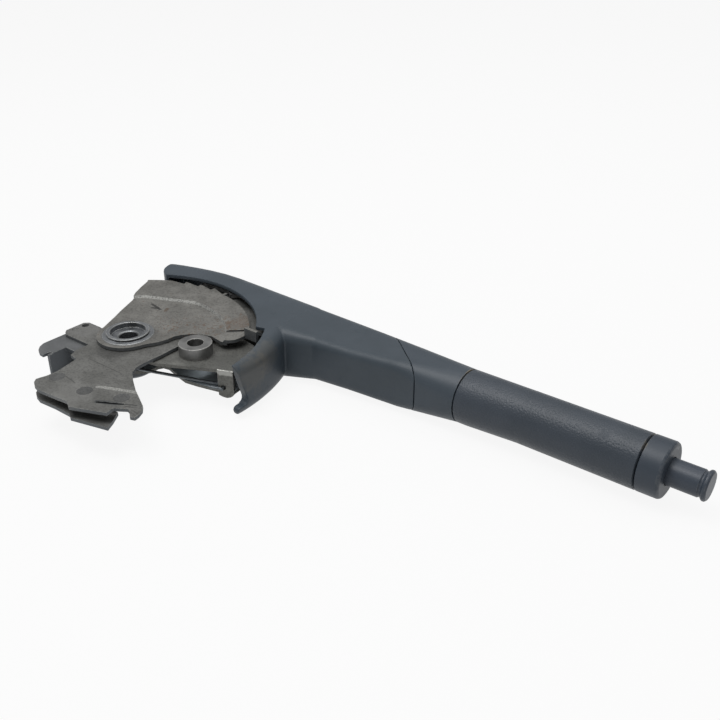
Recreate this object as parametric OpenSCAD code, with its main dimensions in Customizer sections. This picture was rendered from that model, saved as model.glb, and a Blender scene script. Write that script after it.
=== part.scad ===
// Hand operated parking brake lever, lying on its side.
// Origin on the pivot axis in the middle plane of the handle.
// X runs along the handle to the button, Y is up when fitted, Z runs along the pivot.

/* [Handle] */
// outer diameter of the hand grip
grip_d = 30; // [28:0.5:32]
// length of the hand grip
grip_len = 103; // [80:1:130]
// length of the end collar behind the button
collar_len = 12.3; // [9:0.5:16]
// outside diameter of the steel handle tube
tube_d = 22; // [20:0.5:24]
// wall of the steel handle tube
tube_wall = 1.5; // [1:0.1:2.5]

/* [Button] */
// diameter of the button stem
stem_d = 14.4; // [12:0.2:16]
// diameter of the button flange
flange_d = 16; // [14.6:0.2:20]
// how far the stem stands out of the collar
stem_out = 20; // [16:0.5:26]
// how far the button can be pushed
button_travel = 7; // [4:0.5:9]
// diameter of the push rod
rod_d = 5; // [4:0.2:6]

/* [Sheet metal] */
// thickness of the pressed steel sheets
sheet_t = 2; // [1.6:0.1:2.4]
// side play between sheets that turn past each other
side_play = 0.5; // [0.4:0.1:0.8]
// inside width of the mounting bracket
bracket_gap = 10.8; // [9:0.2:13]
// width of the cable groove in the rear quadrant
groove_w = 4.7; // [3.5:0.1:5.5]
// depth of the cable groove in the rear quadrant
groove_depth = 6; // [4:0.5:8]

/* [Pivot and mounts] */
// bore through the hollow pivot bush
pivot_bore_d = 10.8; // [9:0.2:12]
// outside diameter of the pivot barrel
barrel_d = 16; // [15:0.2:18]
// diameter of the pivot bush lip
lip_d = 25.8; // [25:0.2:28]
// height of the pivot bush head above the sector
head_h = 2.2; // [1.8:0.1:3]
// outside diameter of the mounting bush
bush_d = 19.8; // [17:0.2:20]
// bore of the mounting bush
bush_bore_d = 9.5; // [8:0.1:11]

/* [Ratchet] */
// radius over the tooth crests of the sector
rim_r = 74.8; // [73.6:0.2:75.2]
// depth of the ratchet teeth
tooth_depth = 2.9; // [2:0.1:3.2]
// angle from tooth to tooth in degrees
tooth_pitch = 8.5; // [7:0.25:9]
// number of ratchet teeth
tooth_count = 4; // [3:1:4]
// height of the raised rim band above the sector
joggle = 1.5; // [1:0.1:1.6]

/* [Housing] */
// wall of the moulded housing
wall = 2.8; // [2.2:0.1:3.4]
// gap left at the seams between mouldings
seam_gap = 0.3; // [0.2:0.1:0.6]

/* [Hidden] */
$fn = 64;

// heights along the pivot, from the bracket outward
near0 = bracket_gap / 2 - 0.5;
near1 = near0 + sheet_t;
far1 = near0 - bracket_gap;
far0 = far1 - sheet_t;
cheek0 = near1 + side_play;
cheek1 = cheek0 + sheet_t;
fcheek1 = far0 - side_play;
fcheek0 = fcheek1 - sheet_t;
sec0 = cheek1 + 0.4;
sec1 = sec0 + sheet_t;
top = sec1 + head_h;
band0 = sec0 + joggle;
band1 = sec1 + joggle;
shell_in = band1 + 0.9;
shell_hw = shell_in + wall;

// handle line, clear above the ratchet rim, and its stations
axis_h = rim_r + 8.3;
grip_x0 = 187.3;
grip_x1 = grip_x0 + grip_len;
collar_x0 = grip_x1 + seam_gap;
collar_x1 = collar_x0 + collar_len;
stem_x1 = collar_x1 + stem_out;
tube_x0 = 112;
tube_x1 = collar_x1 - 3;
arm_x1 = tube_x0 - 1.3;
seat_x = 182;

// start of the neck, its throat and waist, and the slanted seam
neck_x0 = 70;
neck_x1 = 94;
neck_x2 = 117;
neck_x3 = 150;

// ratchet and pawl; the plates around the rim grow with it
reach = rim_r / 74.8;
horn_r = rim_r + 1.5;
apron_r = rim_r + 7.2;
rim_root = rim_r - tooth_depth;
tooth_a0 = 85;
pawl_a = 100;
pawl_r = rim_r + 8;
pawl_c = [pawl_r * cos(pawl_a), pawl_r * sin(pawl_a)];
pawl0 = sec0 + 0.8;
pawl1 = band1 - 0.1;
drive_c = [16, rim_r + 7.6];
drive_r = 2;
ramp_a = 29;
ramp_gap = 0.3;

// pivot barrel and its fits
barrel_r = barrel_d / 2;
spigot_r = lip_d / 2 - 1.3;
hinge_fit = 0.06;
bush_c = [43, 14.3];
hub_r = 18.5;

function polar(r, a) = [r * cos(a), r * sin(a)];
function grown(edge) = [for (p = edge) reach * p];

// outline of the sector plate: left edge, far beyond the rim, right end, lobe and lower edge
sector_edge = [[-17.6, -5], [-24.6, 10.2], [-27.8, 16.5], [-34.5, 31.5], [-39.4, 38.2],
    [-43.8, 46.9], [-46.9, 54.3], [-54, 64], [-20, 85], [40, 80], [72, 52], [58.6, 41.5],
    [58.6, 35.4], [57.8, 31.6], [55.2, 28.6], [51, 27], [46.5, 27.6], [42, 28.3], [36, 26.6],
    [30, 22.6], [26.6, 18.6], [24.4, 14.4], [24.2, 9.6], [22.6, 4], [18, -4]];

// outline of the near cheek: arm, recess at the mounting bush, fan with its hook, tongue and ear
cheek_edge = [[-12, 12], [-24, axis_h - 9.1], [-20, axis_h + 3.9], [0, axis_h + 9.4],
    [arm_x1, axis_h + 10.4], [arm_x1, axis_h - 10.1], [90, axis_h - 13.6], [66, axis_h - 25.1],
    reach * [47, 46], reach * [33.5, 26], [31.2, 18], [32.1, 10.1], [32.3, -1.7], [32, -13.4],
    [32.5, -20.9], [35.5, -26.4], [41.9, -31.2], [52.1, -37.7], [59.9, -41.7], [67.4, -45.6],
    [70.7, -48.6], [72.7, -52.8], [73.3, -55.9], [70.5, -56.8], [66.1, -53.5], [63.7, -52.7],
    [57.1, -57.1], [58.2, -61.9], [37.7, -70.5], [34.6, -68.7], [32.3, -67.6], [22, -68.8],
    [13.1, -69.7], [9.7, -69.8], [4.9, -68.5], [1.4, -66.5], [-0.6, -63.9], [0.1, -60.9],
    [1, -58.1], [1.2, -52.8], [1, -49.7], [-0.4, -43.4], [-2.1, -35.9], [-8.5, -35.2],
    [-11.1, -28.9], [-11, -20.8], [-32.6, -21.1], [-34.8, -19.8], [-36.8, -17.7],
    [-36.8, -4.9], [-34.2, -2.5], [-24.1, -2.3], [-17, -3]];

// outline of the quadrant plate under the fan, same outer edge, short of the bracket
quadrant_edge = [[1.4, -66.5], [-0.6, -63.9], [0.3, -60.9], [3.4, -58.1], [4.5, -52],
    [20, -50.5], [36, -44.5], [47, -39.2], [53, -38.3], [59.9, -41.7], [67.4, -45.6],
    [70.7, -48.6], [72.7, -52.8], [73.3, -55.9], [70.5, -56.8], [66.1, -53.5], [63.7, -52.7],
    [57.1, -57.1], [61, -64.5], [37.7, -70.5], [34.6, -68.7], [22, -68.8], [9.7, -69.8],
    [4.9, -68.5]];

// outline of the groove core
core_edge = [[7, -57], [8, -52], [20, -50.5], [36, -44.5], [47, -39.2], [53, -38.3],
    [59.9, -41.7], [67.4, -45.6], [70.7, -48.6], [72.7, -52.8], [73.3, -55.9], [70.5, -56.8],
    [66.1, -53.5], [63.7, -52.7], [57, -57], [50, -61], [38, -64]];

// outline of the housing above the apron, seen along the pivot: tip of the horn, back, neck end, notch
shell_edge = [[-36.9, axis_h - 19.2], [-42.9, axis_h - 17], [-46.2, axis_h - 14.8], [-48.9, axis_h - 11.6],
    [-51.7, axis_h - 4.5], [-53.6, axis_h], [-58.6, axis_h + 19], [neck_x0 + 0.5, axis_h + 19],
    [neck_x0 + 0.5, reach * 48.5], reach * [66.3, 48.5], reach * [58.8, 46.4], [0, 0]];
// height of the back above the handle line at stations from the tip of the horn to the neck
back = [[-60, 1.8], [-50, 7.3], [-44, 9.5], [-33, 12.7], [-23, 15.1], [-12, 16.8], [0, 17.4], [17, 17],
    [35, 16.4], [61, 15.7], [90, 15.1]];
crown = 15.9;
// outer wall of the apron, an arc about its own centre with rounded edges
apron_wall = 114.9;
apron_c = [apron_r + 4.7 - apron_wall, 8];
apron_round = 8;
flare = 0.5;
// lower end of the apron across its width: edge rising to the middle, notch, lobe on the far side
lip = [[-30, 30], [4.4, 30], [4.4, 18], [5.6, 14.4], [7.3, 7.3], [9.1, 1.3], [11, -3.5], [11.8, -6.4],
    [11.7, -7.8], [10.6, -9.1], [9, -9.6], [7.3, -9.7], [5.4, -9.9], [4.3, -10.6], [3.9, -12], [4.2, -13.4],
    [5.2, -14.8], [7, -16], [9.2, -16.6], [11.5, -17.5], [11.5, -30], [-30, -30]];
module slab(z0, z1) {
    translate([0, 0, z0]) linear_extrude(height = z1 - z0) children();
}

module along_x(x0, x1) {
    translate([x0, 0, 0]) rotate([90, 0, 90]) linear_extrude(height = x1 - x0) children();
}

module spin_x() {
    translate([0, axis_h, 0]) rotate([0, 90, 0]) rotate_extrude() children();
}

module rod(x0, x1, r) {
    translate([x0, axis_h, 0]) rotate([0, 90, 0]) cylinder(h = x1 - x0, r = r);
}

module post(c, z0, z1, r) {
    translate([c[0], c[1], z0]) cylinder(h = z1 - z0, r = r);
}

module wire(a, b, r) {
    d = b - a;
    len = norm(d);
    translate(a) rotate([0, acos(d[2] / len), atan2(d[1], d[0])]) cylinder(h = len, r = r);
}

// smooth coil made of half turns, each tilted by a quarter of the pitch
module coil(r, wire_r, pitch, halves, way = 1) {
    for (k = [0 : halves - 1])
        translate([0, 0, way * k * pitch / 2]) rotate([0, 0, 180 * k])
            rotate([0, way * asin(pitch / (4 * r)), 0])
                rotate_extrude(angle = 180) translate([r, 0]) circle(r = wire_r, $fn = 24);
}

// slot whose ends are punched a little wider than its middle
module slot2d(a, b, r) {
    d = b - a;
    half = 0.95 * r;
    translate(a) circle(r = r, $fn = 32);
    translate(b) circle(r = r, $fn = 32);
    translate(a) rotate(atan2(d[1], d[0])) translate([0, -half]) square([norm(d), 2 * half]);
}

module rounded_section(y0, y1, hw, rb, rt) {
    translate([y0 + rb, -hw]) square([y1 - rt - y0 - rb, 2 * hw]);
    translate([y0, -hw + rb]) square([rb + 1, 2 * (hw - rb)]);
    translate([y1 - rt - 1, -hw + rt]) square([rt + 1, 2 * (hw - rt)]);
    for (s = [-1, 1]) {
        translate([y0 + rb, s * (hw - rb)]) circle(r = rb, $fn = 32);
        translate([y1 - rt, s * (hw - rt)]) circle(r = rt, $fn = 48);
    }
}

// sector, fixed to the bracket

module crease_zone(grow) {
    intersection() {
        translate(reach * [5.5, -3.5]) circle(r = reach * 56.9 + grow, $fn = 128);
        polygon([reach * [-80, -60], reach * [-80, 19.2] + [0, grow], reach * [80, 87.2] + [0, grow],
            reach * [80, -60]]);
    }
}

module sector_plan() {
    circle(r = hub_r);
    difference() {
        intersection() {
            circle(r = rim_r, $fn = 160);
            polygon(grown(sector_edge));
        }
        for (i = [0 : tooth_count - 1])
            polygon([polar(rim_root, tooth_a0 + i * tooth_pitch),
                polar(rim_r + 0.05, tooth_a0 + (i + 0.92) * tooth_pitch),
                polar(rim_r + 2, tooth_a0 + (i + 0.92) * tooth_pitch),
                polar(rim_r + 2, tooth_a0 + i * tooth_pitch)]);
        // right of the teeth the rim is plain
        difference() {
            polygon([[0, 0], polar(rim_r + 30, 10), polar(rim_r + 30, 50), polar(rim_r + 30, tooth_a0 - 1.5)]);
            circle(r = rim_root, $fn = 160);
        }
        slot2d(reach * [46.6, 37.7], reach * [54.2, 43.7], 0.8);
    }
}

module ratchet_sector() {
    color([0.46, 0.45, 0.42]) difference() {
        union() {
            slab(sec0, sec1) intersection() {
                sector_plan();
                crease_zone(1.4);
            }
            slab(band0, band1) difference() {
                sector_plan();
                crease_zone(0);
            }
            slab(band0, band1) translate(reach * [56.5, 39.5]) square([11, sheet_t]);
            slab(band0, top + 4) translate(reach * [56.5, 39.5] + [1.5, 0]) square([9.5, sheet_t]);
        }
        post([0, 0], sec0 - 1, band1 + 1, spigot_r);
    }
}

module sector_spacer() {
    color([0.5, 0.49, 0.46]) post(reach * [46, 32.5], near1, sec0, 4);
}

// bracket, bushes and washers

module bracket_near_plan() {
    circle(r = 16);
    polygon([[-6, 14.8], [10, -12.5], [34, -8.3], reach * [66.2, 8.2], web_b, reach * [77, 20],
        reach * [73, 31], reach * [63, 42], reach * [50, 44], reach * [30, 36]]);
}

module bracket_far_plan() {
    circle(r = 15);
    polygon([[9, -12], [19, -2], [19.4, 6.5], [25, 7.6], [33, 5.5], [44, 3.2], [53, 4.7], web_a, web_b,
        reach * [73, 31], reach * [50, 36], [10, 11]]);
}

web_a = reach * [66.7, 8];
web_b = reach * [75.7, 11.5];
web_len = norm(web_b - web_a);
web_d = (web_b - web_a) / web_len;
web_n = [web_d[1], -web_d[0]];
hole_c = web_a + 0.34 * (web_b - web_a);
hole_z = far1 + 1.5;

module mounting_bracket() {
    color([0.5, 0.49, 0.46]) difference() {
        union() {
            slab(near0, near1) bracket_near_plan();
            slab(far0, far1) bracket_far_plan();
            slab(far0, near1) polygon([web_a, web_b, web_b - sheet_t * web_n, web_a - sheet_t * web_n]);
            // rounded tongue below the web, trimmed a little thinner
            translate([web_a[0] - (sheet_t - 0.05) * web_n[0], web_a[1] - (sheet_t - 0.05) * web_n[1], 0])
                rotate([90, 0, atan2(web_d[1], web_d[0])]) linear_extrude(height = sheet_t - 0.1)
                    polygon([[0.05, far0 + 0.9], [web_len - 0.05, far0 + 0.9], [web_len - 0.05, far0 + 0.2],
                        [web_len - 0.8, far0 - 1.2], [web_len - 2.4, far0 - 2.4], [web_len - 4.6, far0 - 3.1],
                        [2.6, far0 - 2.8], [0.05, far0 - 1.8]]);
        }
        post([0, 0], far0 - 1, near1 + 1, barrel_r);
        post(bush_c, near0 - 1, near1 + 1, bush_bore_d / 2);
        translate([hole_c[0], hole_c[1], hole_z]) rotate([0, 90, atan2(web_n[1], web_n[0])])
            translate([0, 0, -5]) cylinder(h = 10, r = spring_wire + 0.5, $fn = 32);
    }
}

module pivot_bush() {
    color([0.42, 0.42, 0.4]) rotate_extrude() polygon([
        [pivot_bore_d / 2, fcheek0 - 1.8], [12.5, fcheek0 - 1.8], [12.5, fcheek0 - 0.4],
        [barrel_r, fcheek0 - 0.4], [barrel_r, sec0], [spigot_r, sec0], [spigot_r, sec1],
        [15.6, sec1], [15.2, sec1 + 0.4],
        [lip_d / 2 - 0.4, sec1 + 0.9], [lip_d / 2 - 0.9, sec1 + 1.1], [lip_d / 2 - 0.9, sec1 + 1.4],
        [lip_d / 2, sec1 + 1.5], [lip_d / 2, top - 0.3], [lip_d / 2 - 0.4, top],
        [lip_d / 2 - 2.2, top], [lip_d / 2 - 2.5, top - 0.4], [lip_d / 2 - 2.5, sec1 - 1],
        [lip_d / 2 - 3.4, sec1 - 1.2], [pivot_bore_d / 2 + 0.8, sec1 - 1.2],
        [pivot_bore_d / 2, sec1 - 1.8]]);
}

module mount_bush() {
    color([0.55, 0.55, 0.53]) difference() {
        post(bush_c, near1, top, bush_d / 2);
        post(bush_c, near1 - 1, top + 1, bush_bore_d / 2);
    }
}

module washer(z0) {
    slab(z0, z0 + side_play - 0.1) difference() {
        circle(r = 14);
        circle(r = barrel_r);
    }
}

module thrust_washers() {
    color([0.75, 0.72, 0.62]) {
        washer(near1);
        washer(far0 - side_play + 0.1);
    }
}

spring_r = barrel_r + 3.3;
spring_wire = 1;
spring_pitch = 2.2;
spring_halves = 6;
// both legs leave the coil along its tangent, the lower one to a hook through the hole in the web
bend_c = hole_c - (sheet_t + spring_wire + 0.2) * web_n;
spring_a = atan2(bend_c[1], bend_c[0]) - acos(spring_r / norm(bend_c));
spring_z1 = hole_z + spring_halves * spring_pitch / 2;

module return_spring() {
    away = [-sin(spring_a), cos(spring_a), 0];
    low = [spring_r * cos(spring_a), spring_r * sin(spring_a), hole_z];
    high = [low[0], low[1], spring_z1];
    bend = [bend_c[0], bend_c[1], hole_z];
    hook = hole_c + 2.4 * web_n;
    side = [web_n[0], web_n[1], 0];
    along = [-web_n[1], web_n[0], 0];
    // drawn a touch thinner where the wire is straightened
    leg_r = spring_wire - 0.08;
    color([0.35, 0.35, 0.36]) union() {
        translate([0, 0, spring_z1 - spring_pitch / 4]) rotate([0, 0, spring_a])
            coil(spring_r, spring_wire, spring_pitch, spring_halves, -1);
        wire(low - 0.3 * away, bend + 1.2 * away, leg_r);
        wire(high + 0.3 * away, high - 24.3 * away, leg_r);
        wire(bend, [hook[0], hook[1], hole_z], leg_r - 0.08);
        wire([hook[0], hook[1], hole_z] - 0.9 * side, [hook[0], hook[1], hole_z] - 0.9 * side - 8 * along,
            leg_r - 0.16);
    }
}

// lever cheeks and cable quadrant

rivet_c = [[6.4, -55.1], [30.8, -55], [52.2, -47.3]];
rivet_r = 4.4;
rivet_head = 1;
adapter_c = [[88, axis_h + 5.8], [104, axis_h - 5.8]];

// the near cheek is welded from two blanks that meet under the sector
weld_y = 24;

module cheek_blank(y0, y1) {
    intersection() {
        slab(cheek0, cheek1) polygon(cheek_edge);
        translate([-200, y0, cheek0 - 1]) cube([400, y1 - y0, sheet_t + 2]);
    }
}

module lever_cheek_near() {
    color([0.46, 0.45, 0.42]) difference() {
        union() {
            post([0, 0], cheek0, cheek1, 17);
            cheek_blank(-100, weld_y);
        }
        slab(cheek0 - 1, cheek1 + 1) slot2d([45.6, -58.1], [58, -51.3], 0.8);
        post([-33, -6.4], cheek0 - 1, cheek1 + 1, 2.2);
        for (c = rivet_c) post(c, cheek0 - 1, cheek1 + 1, rivet_r);
        post([0, 0], cheek0 - 1, cheek1 + 1, barrel_r + hinge_fit);
        post([-33, -13.6], cheek1 - 0.5, cheek1 + 1, 2.2);
    }
}

module lever_arm_near() {
    color([0.46, 0.45, 0.42]) difference() {
        cheek_blank(weld_y, axis_h + 40);
        slab(cheek0 - 1, cheek1 + 1) slot2d(drive_c, drive_c + [-0.5, 3.8], drive_r + 1);
        post(pawl_c, cheek0 - 1, cheek1 + 1, 3);
        for (c = adapter_c) post(c, cheek0 - 1, cheek1 + 1, 2.5);
    }
}

module lever_cheek_far() {
    color([0.46, 0.45, 0.42]) difference() {
        union() {
            post([0, 0], fcheek0, fcheek1, 14.2);
            slab(fcheek0, fcheek1) polygon([[-8, 12.5], [30, axis_h + 9.4], [arm_x1, axis_h + 10.4],
                [arm_x1, axis_h - 10.1], [90, axis_h - 13.6], [66, axis_h - 25.1], [32, 34], [8, -6]]);
            slab(fcheek0, fcheek1) polygon([[-14, 3], [-27, -22], [-27, -41], [-20, -41], [-17, -27],
                [-1, -14.5]]);
        }
        post([0, 0], fcheek0 - 1, fcheek1 + 1, barrel_r + hinge_fit);
        for (c = adapter_c) post(c, fcheek0 - 1, fcheek1 + 1, 2.5);
    }
}

module rear_strap() {
    color([0.44, 0.43, 0.4]) union() {
        difference() {
            slab(cheek0 - sheet_t, cheek0) polygon([[-36.7, -3.5], [-36.7, -34.2], [-35, -38], [-32, -41],
                [-28.5, -42.7], [-25, -43], [-24.4, -38.4], [-22, -38], [-22, -29.2], [-11.1, -28.9],
                [-11, -21], [-18.5, -13], [-18.5, -3.5]]);
            post([-33, -6.4], cheek0 - sheet_t - 1, cheek0 + 1, 2.2);
        }
        slab(fcheek1, cheek0 - 0.5) translate([-22 - sheet_t, -40.8]) square([sheet_t, 26]);
    }
}

module cable_quadrant() {
    lower1 = cheek0 - groove_w;
    color([0.44, 0.43, 0.4]) difference() {
        union() {
            slab(lower1 - sheet_t, lower1) polygon(quadrant_edge);
            slab(lower1 - 0.5, cheek0) intersection() {
                polygon(core_edge);
                union() {
                    circle(r = 71 - groove_depth, $fn = 128);
                    polygon([[46, -36], [59, -56.5], [76, -60], [76, -40]]);
                }
            }
        }
        for (c = rivet_c) post(c, lower1 - sheet_t - 1, cheek0 + 1, rivet_r);
    }
}

module quadrant_rivets() {
    color([0.3, 0.3, 0.3]) for (c = rivet_c)
        post(c, cheek0 - groove_w - sheet_t, cheek1, rivet_r - 0.02);
}

// handle core

module tube_adapter() {
    color([0.5, 0.5, 0.48]) difference() {
        union() {
            along_x(80, tube_x0) translate([axis_h - 10.6, fcheek1]) square([21.2, cheek0 - fcheek1]);
            rod(tube_x0 - 1, tube_x0 + 22, tube_d / 2 - tube_wall);
        }
        rod(79, tube_x0 + 23, rod_d / 2 + 0.6);
        for (c = adapter_c) post(c, fcheek1 - 1, cheek0 + 1, 2.5);
    }
}

module adapter_rivets() {
    color([0.4, 0.4, 0.38]) for (c = adapter_c) {
        post(c, fcheek0 - rivet_head + 0.2, cheek1 + rivet_head - 0.2, 2.48);
        post(c, cheek1, cheek1 + rivet_head, 4);
        post(c, fcheek0 - rivet_head, fcheek0, 4);
    }
}

module lever_tube() {
    color([0.4, 0.4, 0.4]) difference() {
        rod(tube_x0, tube_x1, tube_d / 2);
        rod(tube_x0 - 1, tube_x1 + 1, tube_d / 2 - tube_wall);
    }
}

// moulded housing, sleeve, grip and collar

module neck_root() {
    along_x(neck_x0, neck_x0 + 0.2)
        rounded_section(axis_h - 34, axis_h + 15.3, shell_hw - 0.1, 8, 14);
}

module neck_throat() {
    along_x(neck_x1, neck_x1 + 0.2) rounded_section(axis_h - 24.7, axis_h + 17.4, shell_hw - 2.8, 5, 12);
}

module neck_waist() {
    along_x(neck_x2, neck_x2 + 0.2) rounded_section(axis_h - 22.4, axis_h + 17.4, 13.8, 5, 12);
}

module neck_seam() {
    along_x(neck_x3, neck_x3 + 0.2) rounded_section(axis_h - 18.7, axis_h + 15, 15, 6, 13);
}

module neck_end() {
    along_x(grip_x0 - 1, grip_x0 - seam_gap) translate([axis_h - 1.4, 0])
        circle(r = grip_d / 2 + flare, $fn = 64);
}

module neck_solid() {
    hull() {
        neck_root();
        neck_throat();
    }
    hull() {
        neck_throat();
        neck_waist();
    }
    hull() {
        neck_waist();
        neck_seam();
    }
    hull() {
        neck_seam();
        neck_end();
    }
}

// slanted plane between housing and sleeve
module beyond_seam(shift) {
    translate([0, 0, -40]) linear_extrude(height = 80)
        polygon([[193.6 + shift, axis_h - 43.1], [109.6 + shift, axis_h + 26.9], [260, axis_h + 26.9],
            [260, axis_h - 43.1]]);
}

module housing_body() {
    intersection() {
        slab(-shell_hw - 1, shell_hw + 1) difference() {
            polygon(shell_edge);
            circle(r = horn_r, $fn = 160);
        }
        hull() for (p = back)
            along_x(p[0], p[0] + 0.2) rounded_section(-10, axis_h + p[1], shell_hw, 0.5, 14);
    }
}

module apron() {
    inner = apron_wall - 40;
    difference() {
        intersection() {
            translate([apron_c[0], apron_c[1], 0]) rotate_extrude($fn = 160) {
                translate([inner, -shell_hw]) square([40 - apron_round, 2 * shell_hw]);
                translate([apron_wall - apron_round - 1, apron_round - shell_hw])
                    square([apron_round + 1, 2 * (shell_hw - apron_round)]);
                for (s = [-1, 1]) translate([apron_wall - apron_round, s * (shell_hw - apron_round)])
                    circle(r = apron_round, $fn = 48);
            }
            slab(-shell_hw - 1, shell_hw + 1)
                polygon([reach * [50, 60], [apron_r + 20, reach * 60], [apron_r + 20, -6], [50, -6]]);
        }
        post([0, 0], -shell_hw - 2, shell_hw + 2, apron_r);
        along_x(apron_r - 14, apron_r + 14) polygon(lip);
    }
}

module lever_shell() {
    color([0.2, 0.22, 0.25]) difference() {
        union() {
            housing_body();
            apron();
            difference() {
                neck_solid();
                beyond_seam(-seam_gap);
            }
        }
        // room for the mechanism, open to the pivot side
        intersection() {
            slab(-shell_in, shell_in) polygon([[-40, axis_h - 15.4], [-47.6, axis_h - 5],
                [-49, axis_h + 3.4], [-33, axis_h + 8.4], [-12, axis_h + 11.8], [10, axis_h + 12.9],
                [36, axis_h + 12.9], [neck_x0, axis_h + 12.1], [neck_x0, axis_h - 33.1], reach * [71, 44],
                reach * [60, 40], [0, 0]]);
            along_x(-60, 125) rounded_section(-20, axis_h + crown - wall, shell_in, 0.5, 14 - wall);
        }
        // narrower room for the arms, the adapter and its rivet heads inside the neck
        slab(fcheek0 - 0.3, cheek1 + 0.3) polygon([[60, axis_h + 11.2], [119, axis_h + 11.2],
            [119, axis_h - 11.4], [98, axis_h - 13.2], [84, axis_h - 17.4], [80, axis_h - 19.5],
            [66, axis_h - 33], [60, axis_h - 30]]);
        slab(fcheek0 - rivet_head - 0.3, cheek1 + rivet_head + 0.9) translate([60, axis_h - 10.2])
            square([tube_x0 - 60, 20.4]);
        rod(100, 200, tube_d / 2 + 0.02);
    }
}

module neck_sleeve() {
    color([0.2, 0.22, 0.25]) difference() {
        intersection() {
            neck_solid();
            beyond_seam(0);
        }
        rod(100, 200, tube_d / 2 + 0.02);
    }
}

module grip() {
    r = grip_d / 2;
    flare_end = grip_x0 + grip_len * 0.36;
    color([0.13, 0.14, 0.16]) difference() {
        union() {
            spin_x() polygon([[4, flare_end], [r - 0.1, flare_end], [r, grip_x1 - 0.7], [r - 0.7, grip_x1],
                [4, grip_x1]]);
            // the grip flares and drops a little to meet the sleeve
            hull() {
                along_x(grip_x0, grip_x0 + 0.1) translate([axis_h - 1.4, 0])
                    circle(r = r + flare - 0.7, $fn = 64);
                along_x(grip_x0 + 0.7, grip_x0 + 6) translate([axis_h - 1.4, 0])
                    circle(r = r + flare, $fn = 64);
                along_x(flare_end - 0.1, flare_end + 0.1) translate([axis_h, 0])
                    circle(r = r - 0.15, $fn = 64);
            }
        }
        rod(grip_x0 - 1, grip_x1 + 1, tube_d / 2 + 0.02);
    }
}

module end_collar() {
    r = grip_d / 2;
    color([0.2, 0.22, 0.25]) spin_x() polygon([[tube_d / 2 + 0.02, collar_x0], [r - 0.5, collar_x0],
        [r, collar_x0 + 0.5], [r, collar_x1 - 1.6], [r - 0.5, collar_x1 - 0.5], [r - 1.6, collar_x1],
        [stem_d / 2 + 0.4, collar_x1], [stem_d / 2 + 0.4, tube_x1], [tube_d / 2 + 0.02, tube_x1]]);
}

// pawl and button train

module pawl_pin() {
    color([0.5, 0.5, 0.48]) {
        post(pawl_c, cheek0, pawl1 + 0.2, 2.98);
        post(pawl_c, cheek1, pawl0 - 0.1, 4.5);
        post(pawl_c, pawl1 + 0.1, pawl1 + 0.7, 4.5);
    }
}

module pawl() {
    tip = polar(rim_r + 0.4, 82);
    color([0.36, 0.36, 0.37]) difference() {
        union() {
            post(pawl_c, pawl0, pawl1, 5.4);
            slab(pawl0, pawl1) polygon([pawl_c + [0, 5.3], [8, rim_r + 12], [19.5, rim_r + 10.6],
                [19.5, rim_r + 4.4], [14.6, rim_r + 3.6], tip + [0.6, 0.1], tip + [-0.8, 0.1],
                [5.5, rim_r + 3.2], pawl_c + [0, -4.6]]);
        }
        post(pawl_c, pawl0 - 1, pawl1 + 1, 3.04);
        post(drive_c, pawl0 - 1, pawl1 + 1, drive_r);
    }
}

module pawl_drive_pin() {
    color([0.5, 0.5, 0.48]) post(drive_c, -3.4, pawl1, drive_r - 0.02);
}

module push_rod() {
    lean = drive_r + ramp_gap;
    foot = drive_c + [lean * sin(ramp_a), -lean * cos(ramp_a)];
    y_low = axis_h - 6.5;
    y_high = axis_h + 2.4;
    color([0.5, 0.5, 0.48]) {
        slab(-3, 3) polygon([[foot[0] - (foot[1] - y_low) / tan(ramp_a), y_low],
            [foot[0] + (y_high - foot[1]) / tan(ramp_a), y_high], [46, y_high], [46, axis_h - 2.4],
            [30, y_low]]);
        rod(44, stem_x1 - 6, rod_d / 2);
    }
}

module spring_seat() {
    color([0.3, 0.3, 0.3]) difference() {
        rod(seat_x, seat_x + 3, tube_d / 2 - tube_wall - 0.5);
        rod(seat_x - 1, seat_x + 4, rod_d / 2);
    }
}

module rod_guide() {
    color([0.7, 0.68, 0.6]) difference() {
        rod(tube_x1 - 38, tube_x1 - 26, tube_d / 2 - tube_wall);
        rod(tube_x1 - 39, tube_x1 - 25, rod_d / 2 + 0.3);
    }
}

module button_spring() {
    n = 16;
    x0 = tube_x0 + 22;
    pitch = (seat_x - x0 - 2.4) / (n / 2);
    color([0.4, 0.4, 0.42]) translate([x0 + 1.2 + pitch / 4, axis_h, 0]) rotate([0, 90, 0])
        coil(rod_d / 2 + 3, 0.8, pitch, n);
}

module push_button() {
    r = stem_d / 2;
    f = flange_d / 2;
    color([0.17, 0.18, 0.2]) spin_x() polygon([[rod_d / 2, collar_x1 - 10], [r, collar_x1 - 10],
        [r, stem_x1 - 4.4], [r - 0.5, stem_x1 - 4], [r - 0.5, stem_x1 - 3.2], [f - 0.6, stem_x1 - 2.6],
        [f, stem_x1 - 2], [f, stem_x1 - 0.9], [f - 0.9, stem_x1], [0, stem_x1], [0, stem_x1 - 6],
        [rod_d / 2, stem_x1 - 6]]);
}

mounting_bracket();
ratchet_sector();
sector_spacer();
pivot_bush();
mount_bush();
thrust_washers();
return_spring();
lever_cheek_near();
lever_arm_near();
lever_cheek_far();
rear_strap();
cable_quadrant();
quadrant_rivets();
tube_adapter();
adapter_rivets();
lever_tube();
lever_shell();
neck_sleeve();
grip();
end_collar();
pawl_pin();
rod_guide();
button_spring();
pawl();
pawl_drive_pin();
push_button();
push_rod();
spring_seat();
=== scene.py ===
import math

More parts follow.
